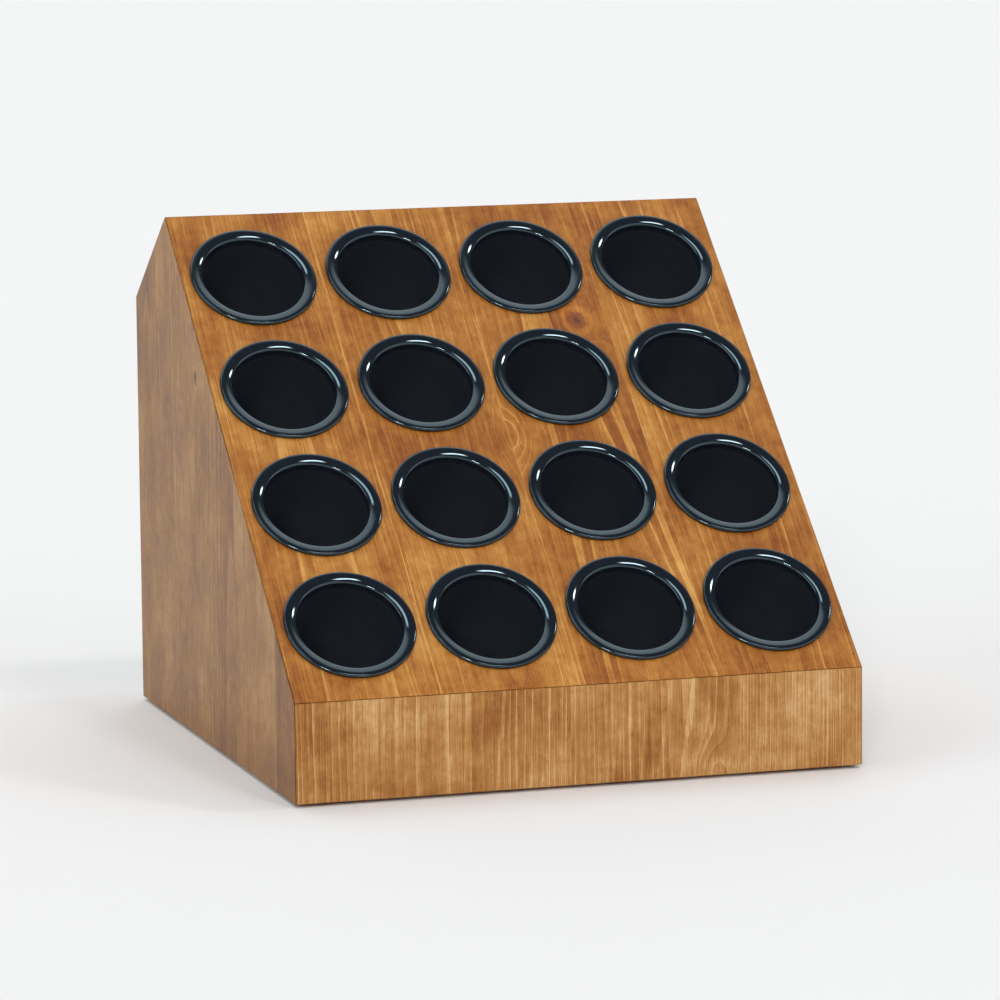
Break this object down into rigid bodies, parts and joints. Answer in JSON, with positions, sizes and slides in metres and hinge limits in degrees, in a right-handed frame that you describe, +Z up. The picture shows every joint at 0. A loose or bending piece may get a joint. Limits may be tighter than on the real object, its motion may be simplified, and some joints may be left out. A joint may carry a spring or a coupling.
{
  "type": "countertop cutlery dispenser",
  "caption": "Wedge-shaped wooden cutlery dispenser for a counter: a sloping deck holds lift-out round black cups in a square grid.",
  "frame": {"origin": "on the counter, under the middle of the cabinet's bounding box", "axes": "+Z up; the low front board faces -Y and the open back faces +Y; +X is to the right seen from the front"},
  "size_m": [0.508, 0.533, 0.4603],
  "materials": {
    "pine_deck": "warm orange-brown stain under satin varnish, grain up the slope",
    "pine_front": "lighter tan stain under satin varnish, upright grain",
    "pine_side": "cooler brown stain under satin varnish, upright grain",
    "pine_raw": "bare planed pine",
    "black_melamine": "gloss black",
    "black_rubber": "matt black rubber",
    "zinc_screw": "bright zinc plate"
  },
  "bodies": {
    "cabinet": {"side_panel_left": "pine_side", "side_panel_right": "pine_side", "front_board": "pine_front", "cup_deck": "pine_deck", "top_cap": "pine_side", "back_rail": "pine_side", "ridge_strip": "pine_raw", "front_strip": "pine_raw", "deck_block_left_1": "pine_raw", "deck_block_left_2": "pine_raw", "deck_block_left_3": "pine_raw", "deck_block_right_1": "pine_raw", "deck_block_right_2": "pine_raw", "deck_block_right_3": "pine_raw", "corner_post_front_left": "pine_raw", "corner_post_back_left": "pine_raw", "corner_post_front_right": "pine_raw", "corner_post_back_right": "pine_raw", "foot_front_left": "black_rubber", "foot_back_left": "black_rubber", "foot_front_right": "black_rubber", "foot_back_right": "black_rubber", "foot_screw_front_left": "zinc_screw", "foot_screw_back_left": "zinc_screw", "foot_screw_front_right": "zinc_screw", "foot_screw_back_right": "zinc_screw", "rail_screw_left_1": "zinc_screw", "rail_screw_left_2": "zinc_screw", "rail_screw_right_1": "zinc_screw", "rail_screw_right_2": "zinc_screw"},
    "cup_r1_c1": {"cup_r1_c1": "black_melamine"},
    "cup_r1_c2": {"cup_r1_c2": "black_melamine"},
    "cup_r1_c3": {"cup_r1_c3": "black_melamine"},
    "cup_r1_c4": {"cup_r1_c4": "black_melamine"},
    "cup_r2_c1": {"cup_r2_c1": "black_melamine"},
    "cup_r2_c2": {"cup_r2_c2": "black_melamine"},
    "cup_r2_c3": {"cup_r2_c3": "black_melamine"},
    "cup_r2_c4": {"cup_r2_c4": "black_melamine"},
    "cup_r3_c1": {"cup_r3_c1": "black_melamine"},
    "cup_r3_c2": {"cup_r3_c2": "black_melamine"},
    "cup_r3_c3": {"cup_r3_c3": "black_melamine"},
    "cup_r3_c4": {"cup_r3_c4": "black_melamine"},
    "cup_r4_c1": {"cup_r4_c1": "black_melamine"},
    "cup_r4_c2": {"cup_r4_c2": "black_melamine"},
    "cup_r4_c3": {"cup_r4_c3": "black_melamine"},
    "cup_r4_c4": {"cup_r4_c4": "black_melamine"}
  },
  "joints": [
    {"name": "lift_r1_c1", "type": "slide", "parent": "cabinet", "child": "cup_r1_c1", "axis": [0, -0.6639, 0.7478], "range_m": [0, 0.15]},
    {"name": "lift_r1_c2", "type": "slide", "parent": "cabinet", "child": "cup_r1_c2", "axis": [0, -0.6639, 0.7478], "range_m": [0, 0.15]},
    {"name": "lift_r1_c3", "type": "slide", "parent": "cabinet", "child": "cup_r1_c3", "axis": [0, -0.6639, 0.7478], "range_m": [0, 0.15]},
    {"name": "lift_r1_c4", "type": "slide", "parent": "cabinet", "child": "cup_r1_c4", "axis": [0, -0.6639, 0.7478], "range_m": [0, 0.15]},
    {"name": "lift_r2_c1", "type": "slide", "parent": "cabinet", "child": "cup_r2_c1", "axis": [0, -0.6639, 0.7478], "range_m": [0, 0.15]},
    {"name": "lift_r2_c2", "type": "slide", "parent": "cabinet", "child": "cup_r2_c2", "axis": [0, -0.6639, 0.7478], "range_m": [0, 0.15]},
    {"name": "lift_r2_c3", "type": "slide", "parent": "cabinet", "child": "cup_r2_c3", "axis": [0, -0.6639, 0.7478], "range_m": [0, 0.15]},
    {"name": "lift_r2_c4", "type": "slide", "parent": "cabinet", "child": "cup_r2_c4", "axis": [0, -0.6639, 0.7478], "range_m": [0, 0.15]},
    {"name": "lift_r3_c1", "type": "slide", "parent": "cabinet", "child": "cup_r3_c1", "axis": [0, -0.6639, 0.7478], "range_m": [0, 0.15]},
    {"name": "lift_r3_c2", "type": "slide", "parent": "cabinet", "child": "cup_r3_c2", "axis": [0, -0.6639, 0.7478], "range_m": [0, 0.15]},
    {"name": "lift_r3_c3", "type": "slide", "parent": "cabinet", "child": "cup_r3_c3", "axis": [0, -0.6639, 0.7478], "range_m": [0, 0.15]},
    {"name": "lift_r3_c4", "type": "slide", "parent": "cabinet", "child": "cup_r3_c4", "axis": [0, -0.6639, 0.7478], "range_m": [0, 0.15]},
    {"name": "lift_r4_c1", "type": "slide", "parent": "cabinet", "child": "cup_r4_c1", "axis": [0, -0.6639, 0.7478], "range_m": [0, 0.15]},
    {"name": "lift_r4_c2", "type": "slide", "parent": "cabinet", "child": "cup_r4_c2", "axis": [0, -0.6639, 0.7478], "range_m": [0, 0.15]},
    {"name": "lift_r4_c3", "type": "slide", "parent": "cabinet", "child": "cup_r4_c3", "axis": [0, -0.6639, 0.7478], "range_m": [0, 0.15]},
    {"name": "lift_r4_c4", "type": "slide", "parent": "cabinet", "child": "cup_r4_c4", "axis": [0, -0.6639, 0.7478], "range_m": [0, 0.15]}
  ]
}
